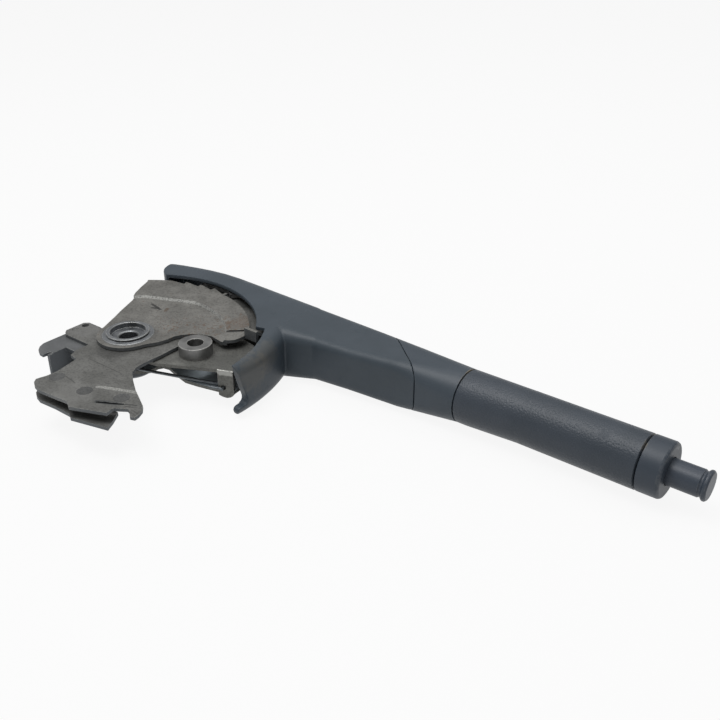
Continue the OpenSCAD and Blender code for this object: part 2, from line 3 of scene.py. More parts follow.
import bpy
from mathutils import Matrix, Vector


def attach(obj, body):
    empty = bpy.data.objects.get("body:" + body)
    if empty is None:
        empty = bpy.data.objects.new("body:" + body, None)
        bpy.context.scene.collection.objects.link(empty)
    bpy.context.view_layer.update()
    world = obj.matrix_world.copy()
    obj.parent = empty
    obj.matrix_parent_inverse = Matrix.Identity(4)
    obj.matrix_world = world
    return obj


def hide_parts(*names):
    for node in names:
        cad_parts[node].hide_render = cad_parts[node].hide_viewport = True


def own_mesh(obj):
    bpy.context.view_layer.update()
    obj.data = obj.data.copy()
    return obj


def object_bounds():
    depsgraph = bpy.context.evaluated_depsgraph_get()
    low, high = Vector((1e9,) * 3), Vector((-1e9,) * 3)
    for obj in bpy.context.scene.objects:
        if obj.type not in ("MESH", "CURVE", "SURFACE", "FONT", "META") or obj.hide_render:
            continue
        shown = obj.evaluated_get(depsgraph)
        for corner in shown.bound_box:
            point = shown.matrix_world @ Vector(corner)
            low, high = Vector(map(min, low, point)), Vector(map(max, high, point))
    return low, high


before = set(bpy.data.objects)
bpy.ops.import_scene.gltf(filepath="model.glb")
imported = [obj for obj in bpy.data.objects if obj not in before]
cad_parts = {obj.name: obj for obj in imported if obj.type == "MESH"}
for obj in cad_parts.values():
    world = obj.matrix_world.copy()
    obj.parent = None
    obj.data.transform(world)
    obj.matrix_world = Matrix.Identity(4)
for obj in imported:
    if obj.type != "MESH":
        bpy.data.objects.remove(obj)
cad_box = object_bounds()
MM = 0.001


# Mounting bracket: the U-shaped base that is bolted to the car floor under the lever.
# Pressed from 2 mm steel sheet and bent at the web, with a dull grey phosphate finish; a painted
# highlight runs along the near bend.
def take_copy(node):
    """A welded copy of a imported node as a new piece, with its flat faces whole."""
    bpy.ops.object.select_all(action="DESELECT")
    piece = bpy.data.objects.new(node + "_made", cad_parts[node].data.copy())
    bpy.context.collection.objects.link(piece)
    bpy.context.view_layer.objects.active = piece
    piece.select_set(True)
    piece.data.materials.clear()
    bpy.ops.mesh.customdata_custom_splitnormals_clear()
    bpy.ops.object.mode_set(mode="EDIT")
    bpy.ops.mesh.select_all(action="SELECT")
    bpy.ops.mesh.remove_doubles(threshold=2e-6)
    bpy.ops.mesh.dissolve_limited(angle_limit=math.radians(0.3))
    bpy.ops.object.mode_set(mode="OBJECT")
    return piece


def pick_edges(piece, wanted):
    """Opens the piece in edit mode with only the edges selected that wanted(a, b) accepts."""
    bpy.ops.object.mode_set(mode="EDIT")
    bpy.ops.mesh.select_mode(type="EDGE")
    bpy.ops.mesh.select_all(action="DESELECT")
    bpy.ops.object.mode_set(mode="OBJECT")
    corners = piece.data.vertices
    for edge in piece.data.edges:
        a, b = (corners[i].co for i in edge.vertices)
        edge.select = wanted(a / MM, b / MM)
    bpy.ops.object.mode_set(mode="EDIT")


def round_picked(piece, width, steps, mark, strength=1.0):
    """Bevels the selected edges and gives the new narrow faces that strength of the face mark."""
    narrow = 0.6 * width * MM
    bpy.ops.mesh.bevel(offset=width * MM, offset_type="OFFSET", segments=steps, affect="EDGES",
                       clamp_overlap=True)
    bpy.ops.object.mode_set(mode="OBJECT")
    marks = piece.data.attributes.get(mark) or piece.data.attributes.new(mark, "FLOAT", "FACE")
    corners = piece.data.vertices
    for face, value in zip(piece.data.polygons, marks.data):
        ring = [corners[i].co for i in face.vertices]
        around = sum((a - b).length for a, b in zip(ring, ring[1:] + ring[:1]))
        if face.select and face.area < narrow * around:
            value.value = strength


def mark_faces(piece, mark, strength):
    """Sets the face mark of that name to strength(centre of the face) all over the piece."""
    marks = piece.data.attributes.get(mark) or piece.data.attributes.new(mark, "FLOAT", "FACE")
    for face, value in zip(piece.data.polygons, marks.data):
        value.value = strength(face.center / MM)


def apply_modifier(piece, kind, **settings):
    """Adds a modifier to the active piece and applies it at once."""
    bpy.ops.object.modifier_add(type=kind)
    modifier = piece.modifiers[-1]
    for name, value in settings.items():
        setattr(modifier, name, value)
    bpy.ops.object.modifier_apply(modifier=modifier.name)


def break_edges(piece, width, sharp=35):
    """Takes the sharpness off every edge, as tumbling does to a pressing, and shades the piece."""
    bpy.ops.object.mode_set(mode="EDIT")
    bpy.ops.mesh.select_mode(type="EDGE")
    bpy.ops.mesh.select_all(action="DESELECT")
    bpy.ops.mesh.edges_select_sharp(sharpness=math.radians(sharp))
    round_picked(piece, width, steps=2, mark="edge")
    bpy.ops.object.mode_set(mode="EDIT")
    bpy.ops.mesh.select_all(action="SELECT")
    bpy.ops.mesh.remove_doubles(threshold=1e-5)
    bpy.ops.mesh.dissolve_degenerate(threshold=1e-6)
    bpy.ops.object.mode_set(mode="OBJECT")
    bpy.ops.object.shade_smooth_by_angle(angle=math.radians(sharp))
    apply_modifier(piece, "WEIGHTED_NORMAL", keep_sharp=True)


def fit(piece, body, slot, material, *nodes):
    """Gives the piece its finish, its body and the nodes it stands for; the slot argument is not used.
    """
    piece.data.materials.clear()
    piece.data.materials.append(material)
    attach(piece, body)
    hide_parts(*nodes)


def add(tree, kind, inputs=(), **settings):
    """A new shader node with its settings, and its inputs set or linked."""
    node = tree.nodes.new("ShaderNode" + kind)
    for name, value in settings.items():
        setattr(node, name, value)
    for name, value in dict(inputs).items():
        if isinstance(value, bpy.types.NodeSocket):
            tree.links.new(value, node.inputs[name])
        else:
            node.inputs[name].default_value = value
    return node


def reckon(tree, operation, *values):
    return add(tree, "Math", enumerate(values), operation=operation).outputs[0]


def ramp(tree, value, low, high):
    """0 below low, 1 above high, smooth between."""
    limits = {"Value": value, "From Min": low, "From Max": high}
    return add(tree, "MapRange", limits, interpolation_type="SMOOTHSTEP").outputs[0]


def tint(tree, mask, below, above):
    """The colour above laid over the colour below where the mask is 1."""
    rgba = [c if isinstance(c, bpy.types.NodeSocket) else (*c, 1) for c in (below, above)]
    return add(tree, "Mix", {0: mask, 6: rgba[0], 7: rgba[1]}, data_type="RGBA").outputs[2]


def level(tree, mask, below, above):
    return add(tree, "Mix", {0: mask, 2: below, 3: above}, data_type="FLOAT").outputs[0]


def start_group(name, inputs, outputs):
    """A node group with vector or number inputs and number outputs."""
    tree = bpy.data.node_groups.new(name, "ShaderNodeTree")
    for label, value in inputs.items():
        kind = "NodeSocketVector" if isinstance(value, tuple) else "NodeSocketFloat"
        tree.interface.new_socket(label, in_out="INPUT", socket_type=kind).default_value = value
    for label in outputs:
        tree.interface.new_socket(label, in_out="OUTPUT", socket_type="NodeSocketFloat")
    return tree, tree.nodes.new("NodeGroupInput").outputs, tree.nodes.new("NodeGroupOutput").inputs


def use(tree, group, **values):
    """The group placed in a material, with its inputs set or linked."""
    node = tree.nodes.new("ShaderNodeGroup")
    node.node_tree = group
    for name, value in values.items():
        if isinstance(value, bpy.types.NodeSocket):
            tree.links.new(value, node.inputs[name])
        else:
            node.inputs[name].default_value = value
    return node.outputs


# cloudy light and dark areas, and the much finer tooth of the surface
teeth_per_cloud = 16.0
mottle, given, out = start_group("mottle", {"Place": (0, 0, 0), "Size": 0.01}, ["Cloud", "Tooth"])
per_size = reckon(mottle, "DIVIDE", 1.0, given["Size"])
wide = add(mottle, "TexNoise", {"Vector": given["Place"], "Scale": per_size, "Detail": 5,
                                "Roughness": 0.62})
mottle.links.new(ramp(mottle, wide.outputs["Fac"], 0.3, 0.72), out["Cloud"])
fine = add(mottle, "TexNoise", {"Vector": given["Place"], "Detail": 3, "Roughness": 0.6,
                                "Scale": reckon(mottle, "MULTIPLY", per_size, teeth_per_cloud)})
mottle.links.new(fine.outputs["Fac"], out["Tooth"])

# small ragged specks, as of rust or grit; Share is how much of the surface they cover
specks, given, out = start_group(
    "specks", {"Place": (0, 0, 0), "Size": 0.002, "Share": 0.1}, ["Mask"])
grit = add(specks, "TexNoise", {"Vector": given["Place"], "Detail": 4, "Roughness": 0.7,
                                "Scale": reckon(specks, "DIVIDE", 1.0, given["Size"])})
bare_level, drop_per_share, speck_edge = 0.72, 0.6, 0.07
lowest = reckon(specks, "SUBTRACT", bare_level,
                reckon(specks, "MULTIPLY", given["Share"], drop_per_share))
highest = reckon(specks, "ADD", lowest, speck_edge)
specks.links.new(ramp(specks, grit.outputs["Fac"], lowest, highest), out["Mask"])

# a ragged stain round a point
stain, given, out = start_group("stain", {"Place": (0, 0, 0), "Centre": (0, 0, 0), "Radius": 0.01,
                                          "Ragged": 0.004}, ["Mask"])
apart = add(stain, "VectorMath", {0: given["Place"], 1: given["Centre"]}, operation="DISTANCE")
torn = add(stain, "TexNoise", {"Vector": given["Place"], "Scale": 260, "Detail": 4})
shift = reckon(stain, "MULTIPLY", reckon(stain, "SUBTRACT", torn.outputs["Fac"], 0.5), given["Ragged"])
reach = reckon(stain, "DIVIDE", reckon(stain, "ADD", apart.outputs["Value"], shift), given["Radius"])
stain.links.new(reckon(stain, "SUBTRACT", 1.0, ramp(stain, reach, 0.45, 1.0)), out["Mask"])

# a straight streak from one point to another
streak, given, out = start_group("streak", {"Place": (0, 0, 0), "Start": (0, 0, 0), "End": (1, 0, 0),
                                            "Width": 0.001, "Ragged": 0.0005}, ["Mask"])
run = add(streak, "VectorMath", {0: given["End"], 1: given["Start"]}, operation="SUBTRACT")
here = add(streak, "VectorMath", {0: given["Place"], 1: given["Start"]}, operation="SUBTRACT")
along = add(streak, "VectorMath", {0: here.outputs[0], 1: run.outputs[0]}, operation="DOT_PRODUCT")
whole = add(streak, "VectorMath", {0: run.outputs[0], 1: run.outputs[0]}, operation="DOT_PRODUCT")
part = add(streak, "Math", {0: along.outputs["Value"], 1: whole.outputs["Value"]},
           operation="DIVIDE", use_clamp=True)
foot = add(streak, "VectorMath", {0: run.outputs[0], "Scale": part.outputs[0]}, operation="SCALE")
apart = add(streak, "VectorMath", {0: here.outputs[0], 1: foot.outputs[0]}, operation="DISTANCE")
torn = add(streak, "TexNoise", {"Vector": given["Place"], "Scale": 500, "Detail": 3})
shift = reckon(streak, "MULTIPLY", reckon(streak, "SUBTRACT", torn.outputs["Fac"], 0.5),
               given["Ragged"])
reach = reckon(streak, "DIVIDE", reckon(streak, "ADD", apart.outputs["Value"], shift), given["Width"])
streak.links.new(reckon(streak, "SUBTRACT", 1.0, ramp(streak, reach, 0.4, 1.0)), out["Mask"])


def start_material(name):
    """A new material: its tree, its shader and the place on the piece."""
    material = bpy.data.materials.new(name)
    material.use_nodes = True
    tree = material.node_tree
    tree.nodes.clear()
    shader = add(tree, "BsdfPrincipled")
    add(tree, "OutputMaterial", {"Surface": shader.outputs[0]})
    return material, tree, shader, add(tree, "TexCoord").outputs["Object"]


def face_mark(tree, name):
    return add(tree, "Attribute", attribute_name=name).outputs["Fac"]


def lay_marks(tree, place, colour, marks):
    """Stains and streaks, each as (group, strength, colour, group values), over the colour."""
    for group, strength, shade, values in marks:
        points = {k: tuple(c * MM for c in v) if isinstance(v, tuple) else v * MM
                  for k, v in values.items()}
        mask = use(tree, group, Place=place, **points)["Mask"]
        colour = tint(tree, reckon(tree, "MULTIPLY", mask, strength), colour, shade)
    return colour


RUST = (0.1, 0.068, 0.047)
GRIME = (0.028, 0.028, 0.028)
# pale grey of rubbed edges, also used for painted highlights on bends
RUBBED_AND_HIGHLIGHT = (0.55, 0.55, 0.52)
# painted bluish shade for faces of the sheet that turn to the side
SIDE_SHADE_BLUE = (0.1, 0.114, 0.13)
# pale blue-grey painted light for shaded inner faces
INTERIOR_LIGHT_PALE = (0.5, 0.57, 0.62)


def pressed_steel(name, dark, light, rust=0.1, marks=(), rust_patches=(), grit=0.32, tooth=0.05,
                  side_shade=0.6):
    """Dull phosphated sheet: clouded grey with specks of rust and its edges rubbed bright, with a
    painted highlight on bends, a painted bluish shade on side faces and painted light on marked inner
    faces.

    A rust patch is given by its centre, its radius and how much more rust it has.
    """
    material, tree, shader, place = start_material(name)
    cloud = use(tree, mottle, Place=place, Size=0.014)
    colour = tint(tree, cloud["Cloud"], dark, light)
    grain = use(tree, specks, Place=place, Size=0.0014, Share=0.36)["Mask"]
    colour = tint(tree, reckon(tree, "MULTIPLY", grain, grit), colour, GRIME)
    # painted shade: faces turned to the side, not up or down, are tinted a darker blue-grey
    facing = add(tree, "SeparateXYZ", {0: add(tree, "TexCoord").outputs["Normal"]}).outputs[2]
    side_shade_mask = reckon(tree, "SUBTRACT", 1.0, ramp(tree, reckon(tree, "ABSOLUTE", facing), 0.3, 0.8))
    colour = tint(tree, reckon(tree, "MULTIPLY", side_shade_mask, side_shade), colour, SIDE_SHADE_BLUE)
    share = rust
    for centre, radius, more in rust_patches:
        patch = use(tree, stain, Place=place, Centre=tuple(c * MM for c in centre),
                    Radius=radius * MM, Ragged=radius * MM)["Mask"]
        share = reckon(tree, "ADD", share, reckon(tree, "MULTIPLY", patch, more))
    rusty = use(tree, specks, Place=place, Size=0.0018, Share=share)["Mask"]
    colour = tint(tree, reckon(tree, "MULTIPLY", rusty, 0.85), colour, RUST)
    # painted light: faces with the interior mark are lightened to a pale blue-grey
    colour = tint(tree, face_mark(tree, "lit_interior"), colour, INTERIOR_LIGHT_PALE)
    colour = lay_marks(tree, place, colour, marks)
    worn = reckon(tree, "MULTIPLY", face_mark(tree, "edge"), ramp(tree, cloud["Tooth"], 0.35, 0.6))
    colour = tint(tree, reckon(tree, "MULTIPLY", worn, 0.3), colour, RUBBED_AND_HIGHLIGHT)
    # painted highlight: faces with the bend mark are lightened towards pale grey and made glossier
    bend_highlight_mask = reckon(tree, "MULTIPLY", face_mark(tree, "bend"), ramp(tree, cloud["Tooth"], 0.3, 0.6))
    colour = tint(tree, bend_highlight_mask, colour, RUBBED_AND_HIGHLIGHT)
    tree.links.new(colour, shader.inputs["Base Color"])
    rough = level(tree, cloud["Cloud"], 0.5, 0.62)
    rough = level(tree, rusty, rough, 0.85)
    tree.links.new(level(tree, bend_highlight_mask, rough, 0.34), shader.inputs["Roughness"])
    tree.links.new(level(tree, rusty, 0.6, 0.1), shader.inputs["Metallic"])
    bump = add(tree, "Bump", {"Height": cloud["Tooth"], "Strength": 0.5, "Distance": tooth * MM})
    tree.links.new(bump.outputs[0], shader.inputs["Normal"])
    return material


bracket = take_copy("mounting_bracket")
near_face = 6.9
web_start, web_end = Vector((66.7, 8.0)), Vector((75.7, 11.5))


def on_web_line(p):
    """On the line of the bend as seen along the pivot, or just beyond its ends."""
    run = web_end - web_start
    off = p.xy - web_start
    aside, along = abs(run.cross(off)) / run.length, off.dot(run) / run.length
    return aside < 0.35 and -0.6 < along < run.length + 0.3


# the near bend is rounded as far as the short edges beside it allow, and the rounding carries a
# painted highlight
pick_edges(bracket, lambda a, b: on_web_line(a) and on_web_line(b)
           and min(a.z, b.z) > near_face - 0.05)
round_picked(bracket, width=1.9, steps=5, mark="bend")
break_edges(bracket, width=0.3)
# painted light: the inner face of the far plate, which lies in shade inside the bracket, is lightened
# to a pale blue-grey
far_inside, interior_lightening = -5.9, 0.85
mark_faces(bracket, "lit_interior",
           lambda centre: interior_lightening if abs(centre.z - far_inside) < 0.02 else 0.0)
fit(bracket, "base", "pressed_steel",
    pressed_steel("bracket_steel", (0.115, 0.116, 0.108), (0.178, 0.178, 0.165), rust=0.06, marks=[
        # painted highlight: a pale band on the web just below the near bend
        (streak, 0.6, RUBBED_AND_HIGHLIGHT, dict(Start=(68, 8.5, 5.4), End=(74.4, 11, 5.4),
                                   Width=2.2, Ragged=2.5))], side_shade=0),
    "mounting_bracket")


# Ratchet sector: the toothed plate that the pawl drops into, fixed on the pivot and the bracket.
# Pressed from 2 mm steel with its rim raised by one bend, a slot and an upturned stop tab,
# spotted with rust and scratched by service.
sector = take_copy("ratchet_sector")
band_top, plate_top = 13.3, 11.8
crease_centre, crease_radius = Vector((5.5, -3.5)), 56.9
crease_from, crease_to = Vector((-80, 19.2)), Vector((80, 87.2))
on_line = 0.12


def crease_gaps(p):
    """How far a point lies from the straight part and from the curved part of the crease."""
    run = crease_to - crease_from
    return run.cross(p.xy - crease_from) / run.length, (p.xy - crease_centre).length - crease_radius


def on_crease(p):
    straight, curved = crease_gaps(p)
    return ((abs(straight) < on_line and curved < on_line)
            or (abs(curved) < on_line and straight < on_line))


def crease_highlight(p):
    """Painted highlight along the crease: bright on the straight part, fainter on the curve."""
    bright, faint = 0.85, 0.5
    beside, beyond, margin = 2, 0.8, 0.03
    straight, curved = crease_gaps(p)
    if not plate_top + margin < p.z < band_top - margin:
        return 0.0
    if abs(straight) < beside and curved < beyond:
        return bright
    return faint if abs(curved) < beside and straight < beyond else 0.0


def at_foot(a, b):
    return all(on_crease(p) and abs(p.z - plate_top) < 0.05 for p in (a, b))


# the foot of the raised rim is drawn out so that the wall slopes, as a pressed step does
slope = 1.0
crease_run = (crease_to - crease_from).normalized()
pick_edges(sector, lambda a, b: at_foot(a, b) and abs(crease_gaps((a + b) / 2)[0]) < on_line)
bpy.ops.transform.translate(value=(crease_run.y * slope * MM, -crease_run.x * slope * MM, 0))
pick_edges(sector, lambda a, b: at_foot(a, b) and abs(crease_gaps((a + b) / 2)[0]) >= on_line)
shrink = 1 - slope / crease_radius
bpy.ops.transform.resize(value=(shrink, shrink, 1), center_override=(*(crease_centre * MM), 0))
bpy.ops.object.mode_set(mode="OBJECT")
break_edges(sector, width=0.3)
# painted highlight on the sloped wall of the crease
mark_faces(sector, "bend", crease_highlight)
fit(sector, "base", "pressed_steel", pressed_steel(
    "sector_steel", (0.153, 0.15, 0.139), (0.212, 0.208, 0.194), rust=0.15, marks=[
        (stain, 0.35, RUST, dict(Centre=(44, 50, 13.3), Radius=11, Ragged=12)),
        (streak, 0.85, GRIME, dict(Start=(-20, 35.6, 11.8), End=(-10.4, 33.7, 11.8),
                                   Width=1.3, Ragged=1.6)),
        (streak, 0.8, GRIME, dict(Start=(-16, 32.1, 11.8), End=(-12.7, 33.9, 11.8),
                                  Width=1.3, Ragged=1.6)),
        (streak, 0.7, RUST, dict(Start=(-7.6, 37.4, 11.8), End=(-5.9, 34, 11.8),
                                 Width=1.5, Ragged=2.4)),
        # painted shadow: a dark line along the slot at the end of the raised band
        (streak, 0.95, GRIME, dict(Start=(46.8, 36.5, 13), End=(53.8, 43.8, 13),
                                   Width=1.6, Ragged=0.3)),
        (stain, 0.45, GRIME, dict(Centre=(0, 0, 12), Radius=20, Ragged=6))],
    rust_patches=[((27, 31, 11.8), 24, 0.13), ((44, 50, 13.3), 16, 0.16), ((8, 24, 11.8), 16, 0.07)]),
    "ratchet_sector")


# Sector spacer: a short turned post that holds the free end of the sector off the bracket.
# Plain bright steel, riveted at both ends.
def turned_steel(name, dark, light, axis, marks=()):
    """Machined steel with the fine rings that the tool leaves round the axis."""
    rings_per_metre, lines_per_metre = 17000.0, 14000.0
    material, tree, shader, place = start_material(name)
    cloud = use(tree, mottle, Place=place, Size=0.008)
    colour = tint(tree, cloud["Cloud"], dark, light)
    fleck = use(tree, specks, Place=place, Size=0.0012, Share=0.12)["Mask"]
    colour = tint(tree, reckon(tree, "MULTIPLY", fleck, 0.4), colour, GRIME)
    colour = lay_marks(tree, place, colour, marks)
    worn = reckon(tree, "MULTIPLY", face_mark(tree, "edge"), ramp(tree, cloud["Tooth"], 0.3, 0.55))
    colour = tint(tree, reckon(tree, "MULTIPLY", worn, 0.5), colour, RUBBED_AND_HIGHLIGHT)
    tree.links.new(colour, shader.inputs["Base Color"])
    apart = add(tree, "Mapping", {"Vector": place, "Location": tuple(-c * MM for c in axis)})
    split = add(tree, "SeparateXYZ", {0: apart.outputs[0]})
    far = reckon(tree, "SQRT", reckon(tree, "ADD", reckon(tree, "POWER", split.outputs[0], 2.0),
                                      reckon(tree, "POWER", split.outputs[1], 2.0)))
    rings = reckon(tree, "SINE", reckon(tree, "MULTIPLY", far, rings_per_metre))
    lines = reckon(tree, "SINE", reckon(tree, "MULTIPLY", split.outputs[2], lines_per_metre))
    height = reckon(tree, "ADD", reckon(tree, "ADD", rings, lines), cloud["Tooth"])
    tree.links.new(level(tree, cloud["Cloud"], 0.36, 0.5), shader.inputs["Roughness"])
    shader.inputs["Metallic"].default_value = 0.85
    bump = add(tree, "Bump", {"Height": height, "Strength": 0.35, "Distance": 0.00002})
    tree.links.new(bump.outputs[0], shader.inputs["Normal"])
    return material


spacer = take_copy("sector_spacer")
break_edges(spacer, width=0.3)
fit(spacer, "base", "turned_steel",
    turned_steel("spacer_steel", (0.14, 0.14, 0.13), (0.24, 0.24, 0.23), axis=(46, 32.5, 0)),
    "sector_spacer")


# Pivot bush: the hollow pin that the lever turns on, with a lipped cup at its near end.
# Turned from steel bar, oiled, with dark grime in the cup and round its foot.
pivot = take_copy("pivot_bush")
break_edges(pivot, width=0.16, sharp=25)
fit(pivot, "base", "turned_steel", turned_steel(
    "pivot_steel", (0.16, 0.17, 0.18), (0.24, 0.25, 0.262), axis=(0, 0, 0), marks=[
        (stain, 0.25, GRIME, dict(Centre=(0, 0, 9), Radius=7.6, Ragged=3)),
        (stain, 0.5, GRIME, dict(Centre=(-7, 9, 11.4), Radius=5, Ragged=5))]),
    "pivot_bush")


# Mount bush: the thick spacer bush that takes the front mounting bolt.
# Turned and faced steel, the cleanest metal on the lever.
bush = take_copy("mount_bush")
bush_axis = (43, 14.3)
break_edges(bush, width=0.45)
fit(bush, "base", "turned_steel",
    turned_steel("bush_steel", (0.17, 0.17, 0.168), (0.25, 0.25, 0.245), axis=(*bush_axis, 0), marks=[
        (stain, 0.5, GRIME, dict(Centre=(*bush_axis, 4), Radius=10.6, Ragged=3))]),
    "mount_bush")


# Thrust washers: two thin rings between the lever cheeks and the bracket.
# Punched from natural nylon sheet.
def nylon(name):
    material, tree, shader, place = start_material(name)
    cloud = use(tree, mottle, Place=place, Size=0.006)
    tree.links.new(tint(tree, cloud["Cloud"], (0.42, 0.38, 0.28), (0.58, 0.54, 0.43)),
                   shader.inputs["Base Color"])
    tree.links.new(level(tree, cloud["Tooth"], 0.35, 0.55), shader.inputs["Roughness"])
    shader.inputs["Subsurface Weight"].default_value = 0.08
    shader.inputs["Subsurface Radius"].default_value = (0.001, 0.0008, 0.0006)
    return material


washer_nylon = nylon("washer_nylon")
washers = take_copy("thrust_washers")
break_edges(washers, width=0.08)
fit(washers, "base", "nylon", washer_nylon, "thrust_washers")


# Return spring: a torsion spring round the pivot, hooked through the bracket web.
# Coiled from 2 mm spring wire with a grey oiled skin.
def drawn_wire(name, dark, light):
    material, tree, shader, place = start_material(name)
    cloud = use(tree, mottle, Place=place, Size=0.005)
    colour = tint(tree, cloud["Cloud"], dark, light)
    rusty = use(tree, specks, Place=place, Size=0.002, Share=0.1)["Mask"]
    tree.links.new(tint(tree, reckon(tree, "MULTIPLY", rusty, 0.6), colour, RUST),
                   shader.inputs["Base Color"])
    tree.links.new(level(tree, cloud["Tooth"], 0.3, 0.5), shader.inputs["Roughness"])
    shader.inputs["Metallic"].default_value = 0.8
    bump = add(tree, "Bump", {"Height": cloud["Tooth"], "Strength": 0.3, "Distance": 0.00003})
    tree.links.new(bump.outputs[0], shader.inputs["Normal"])
    return material


def wear_finish(node, material):
    """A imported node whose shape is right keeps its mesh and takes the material."""
    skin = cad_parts[node].data.materials
    skin.clear()
    skin.append(material)


wear_finish("return_spring", drawn_wire("torsion_wire", (0.09, 0.1, 0.108), (0.17, 0.185, 0.195)))


# Lever cheeks: the two swinging side plates that carry the handle; the near one spreads into
# the fan that pulls the cable and an ear for the warning switch.
# Pressed from 2 mm steel, with a rolled crease across the fan.
cheek = take_copy("lever_cheek_near")
# its two blanks become one sheet: the faces where they meet go, and the edges there are joined
take_copy("lever_arm_near")
weld_y, at_weld = 24 * MM, 1e-5
cheek.select_set(True)
bpy.context.view_layer.objects.active = cheek
bpy.ops.object.join()
pick_edges(cheek, lambda a, b: False)
bpy.ops.mesh.select_mode(type="FACE")
bpy.ops.object.mode_set(mode="OBJECT")
for face in cheek.data.polygons:
    face.select = all(abs(cheek.data.vertices[i].co.y - weld_y) < at_weld for i in face.vertices)
bpy.ops.object.mode_set(mode="EDIT")
bpy.ops.mesh.delete(type="FACE")
bpy.ops.mesh.select_all(action="SELECT")
bpy.ops.mesh.remove_doubles(threshold=at_weld)
bpy.ops.mesh.dissolve_limited(angle_limit=math.radians(0.3))
bpy.ops.object.mode_set(mode="OBJECT")
cheek_top, fold_rise = 9.4, 0.15
fold_from, fold_to = Vector((20.0, -53.3)), Vector((54.6, -38.8))
fold_run = (fold_to - fold_from).normalized()
bpy.ops.object.mode_set(mode="EDIT")
bpy.ops.mesh.select_all(action="SELECT")
bpy.ops.mesh.bisect(plane_co=(*(fold_from * MM), 0), plane_no=(-fold_run.y, fold_run.x, 0))


def on_fold(p):
    """On the upper edge of the cut across the fan, or a little beyond its ends."""
    close, beyond = 0.02, 3
    off = p.xy - fold_from
    return (abs(fold_run.cross(off)) < close and abs(p.z - cheek_top) < close
            and -beyond < off.dot(fold_run) < (fold_to - fold_from).length + beyond)


pick_edges(cheek, lambda a, b: on_fold(a) and on_fold(b))
# the rounded fold takes a faint painted highlight
round_picked(cheek, width=1.3, steps=2, mark="bend", strength=0.5)
pick_edges(cheek, lambda a, b: on_fold(a) and on_fold(b))
bpy.ops.transform.translate(value=(0, 0, fold_rise * MM))
break_edges(cheek, width=0.3)
fit(cheek, "lever", "pressed_steel", pressed_steel(
    "cheek_steel", (0.115, 0.115, 0.108), (0.17, 0.17, 0.162), rust=0.1, marks=[
        (stain, 0.5, GRIME, dict(Centre=(8, -17, 9), Radius=13, Ragged=12)),
        # painted light: a lighter zone on the fan below the fold
        (stain, 0.3, (0.27, 0.27, 0.26), dict(Centre=(28, -62, 9), Radius=18, Ragged=16)),
        (stain, 0.35, (0.25, 0.25, 0.245), dict(Centre=(-30, -10, 9), Radius=14, Ragged=12)),
        (streak, 0.45, GRIME, dict(Start=(3.4, -31.5, 9.4), End=(31, -31, 9.4),
                                   Width=0.5, Ragged=0.6)),
        (streak, 0.4, GRIME, dict(Start=(3, -51, 9.4), End=(20, -53.3, 9.4), Width=0.6, Ragged=0.8)),
        # painted shade: a bluish-dark band along the slot in the fan
        (streak, 0.8, (0.045, 0.05, 0.055), dict(Start=(45.3, -57.9, 9.4), End=(55, -53, 9.4),
                                                 Width=2.2, Ragged=0.6)),
        (streak, 0.7, GRIME, dict(Start=(56, -52.4, 9.4), End=(64.5, -47.6, 9.4),
                                  Width=0.7, Ragged=0.6)),
        (streak, 0.5, GRIME, dict(Start=(60, -52.3, 9.4), End=(66.5, -49.2, 9.4),
                                  Width=0.6, Ragged=0.6)),
        (streak, 0.4, GRIME, dict(Start=(66, -52, 9.4), End=(71.5, -52.4, 9.4),
                                  Width=0.5, Ragged=0.5)),
        (streak, 0.4, GRIME, dict(Start=(67.5, -54, 9.4), End=(72, -54.4, 9.4),
                                  Width=0.5, Ragged=0.5))]),
    "lever_cheek_near", "lever_arm_near")

cheek_far = take_copy("lever_cheek_far")
break_edges(cheek_far, width=0.3)
fit(cheek_far, "lever", "pressed_steel",
    pressed_steel("far_cheek_steel", (0.105, 0.105, 0.098), (0.17, 0.17, 0.16), rust=0.1),
    "lever_cheek_far")


# Rear strap: the plate under the ear, with a wall bent down to join the two cheeks.
# The same 2 mm sheet as the cheeks.
strap = take_copy("rear_strap")
break_edges(strap, width=0.35)
fit(strap, "lever", "pressed_steel",
    pressed_steel("strap_steel", (0.115, 0.12, 0.124), (0.155, 0.16, 0.164), rust=0.05,
                  grit=0.08, tooth=0.015),
    "rear_strap")


# Cable quadrant: the grooved plate under the fan that the brake cable wraps round.
# Pressed steel in two thicknesses, held by three flush rivets with dark heads.

# the sheets end at the notch, so that the hook beyond it is only as thick as the fan
hook_cut, hook_side = Vector((57.5, -58.0, 0)), Vector((0.828, 0.562, 0))
quadrant = take_copy("cable_quadrant")
bpy.ops.object.mode_set(mode="EDIT")
bpy.ops.mesh.select_all(action="SELECT")
bpy.ops.mesh.bisect(plane_co=hook_cut * MM, plane_no=hook_side, use_fill=True, clear_outer=True)
bpy.ops.object.mode_set(mode="OBJECT")
break_edges(quadrant, width=0.3)
fit(quadrant, "lever", "pressed_steel",
    pressed_steel("quadrant_steel", (0.12, 0.12, 0.116), (0.18, 0.18, 0.174), rust=0.07,
                  grit=0.12, tooth=0.03),
    "cable_quadrant")

# the rivet at the hook is cut off flush under the fan
rivets = take_copy("quadrant_rivets")
fan_foot, hook_rivet_x = 7.4, 45
pick_edges(rivets, lambda a, b: min(a.x, b.x) > hook_rivet_x)
bpy.ops.mesh.bisect(plane_co=(0, 0, fan_foot * MM), plane_no=(0, 0, 1), use_fill=True,
                    clear_inner=True)
bpy.ops.object.mode_set(mode="OBJECT")
bpy.ops.object.shade_smooth_by_angle(angle=math.radians(35))
fit(rivets, "lever", "dark_rivet",
    pressed_steel("rivet_dark", (0.085, 0.087, 0.086), (0.12, 0.121, 0.12), rust=0.12),
    "quadrant_rivets")


